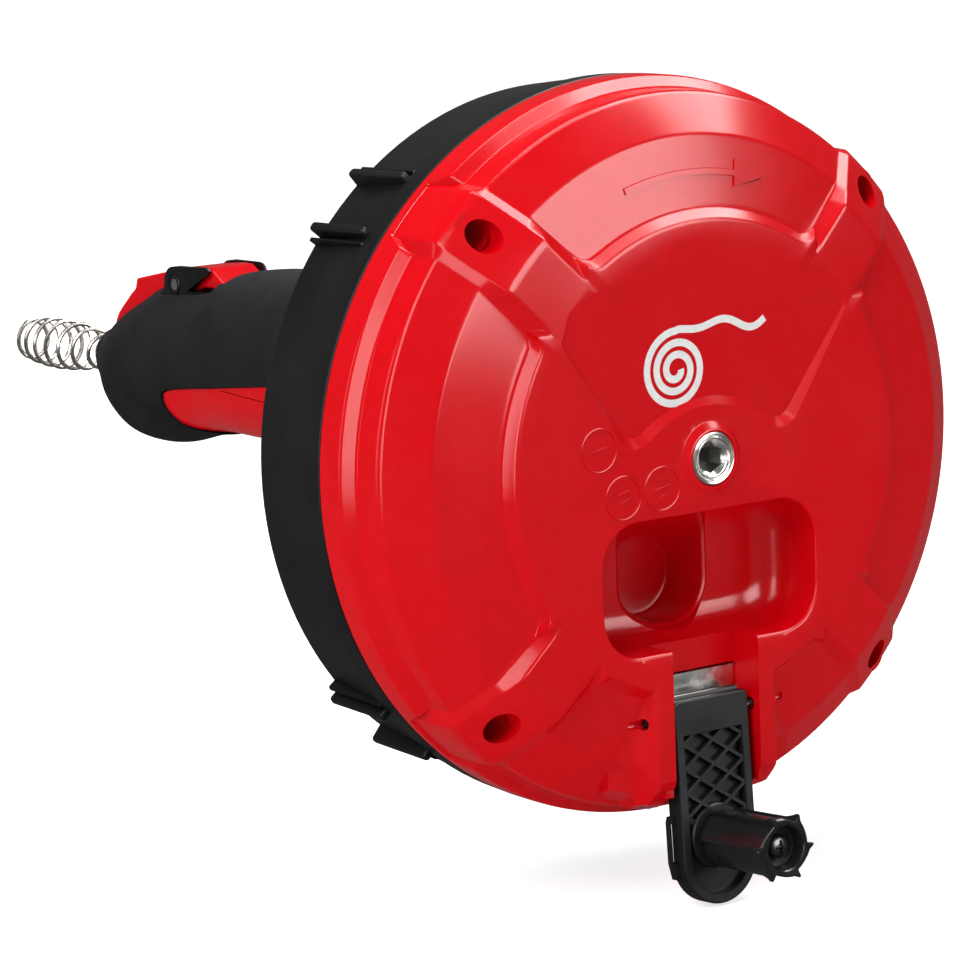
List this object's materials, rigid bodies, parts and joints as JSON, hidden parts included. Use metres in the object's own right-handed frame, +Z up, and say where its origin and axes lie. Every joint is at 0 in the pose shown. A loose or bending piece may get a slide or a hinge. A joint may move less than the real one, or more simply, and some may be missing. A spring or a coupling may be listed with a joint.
{
  "type": "drain snake machine",
  "caption": "Hand or drill driven drain auger: a closed cable drum with a folding crank, a rubber-covered grip with a cable lock lever, and a wire bulb on the cable's end.",
  "frame": {"origin": "middle of the floor of the blind hex drive socket, on the drum's axis", "axes": "+Y along the drum's axis from the drive socket towards the grip and the cable's exit, +Z up to the lever on the grip, +X to the right seen from the crank side"},
  "size_m": [0.22, 0.4277, 0.2439],
  "materials": {
    "red_plastic": "moulded gloss",
    "black_plastic": "fine moulded texture",
    "black_rubber": "moulded soft grip",
    "bright_steel": "bright machined",
    "cable_steel": "wound wire",
    "zinc_steel": "zinc plated",
    "bronze": "sintered"
  },
  "bodies": {
    "grip": {"grip_shell_left": "red_plastic", "grip_shell_right": "red_plastic", "grip_rubber": "black_rubber", "grip_screw_1": "zinc_steel", "grip_screw_2": "zinc_steel", "grip_screw_3": "zinc_steel", "drum_bush": "bronze", "nose_bush": "zinc_steel", "lever_bracket": "black_plastic", "lever_pin": "bright_steel", "lever_spring": "bright_steel"},
    "drum": {"rear_cover": "red_plastic", "cover_screw_1": "zinc_steel", "cover_screw_2": "zinc_steel", "cover_screw_3": "zinc_steel", "cover_screw_4": "zinc_steel", "drive_coupler": "bright_steel", "coupler_washer": "zinc_steel", "coupler_nut": "zinc_steel", "detent_leaf": "bright_steel", "crank_pin": "bright_steel", "front_drum": "black_plastic", "cable_coil": "cable_steel", "cable_run": "cable_steel", "drum_spindle": "bright_steel", "spindle_retainer": "zinc_steel"},
    "crank": {"crank_arm": "black_plastic", "knob_screw": "zinc_steel", "knob_washer": "bright_steel"},
    "knob": {"knob": "black_plastic"},
    "cable": {"cable_lead": "cable_steel", "bulb_head": "bright_steel"},
    "lever": {"lever": "red_plastic", "clamp_jaw": "zinc_steel"}
  },
  "joints": [
    {"name": "drum_spin", "type": "hinge", "parent": "grip", "child": "drum", "pos_m": [0, 0.03, 0], "axis": [0, 1, 0], "continuous": true},
    {"name": "crank_fold", "type": "hinge", "parent": "drum", "child": "crank", "pos_m": [0, -0.0058, -0.0762], "axis": [-1, 0, 0], "range_deg": [0, 176]},
    {"name": "knob_spin", "type": "hinge", "parent": "crank", "child": "knob", "pos_m": [0, -0.00806, -0.11313], "axis": [0, -0.9981, 0.061], "continuous": true},
    {"name": "cable_feed", "type": "slide", "parent": "drum", "child": "cable", "axis": [0, 1, 0], "range_m": [0, 0.15]},
    {"name": "lever_press", "type": "hinge", "parent": "grip", "child": "lever", "pos_m": [0, 0.262, 0.0305], "axis": [1, 0, 0], "range_deg": [0, 7], "stiffness_Nm_per_rad": 1.2, "springref_deg": -11.46, "deforming": ["lever_spring"]}
  ]
}
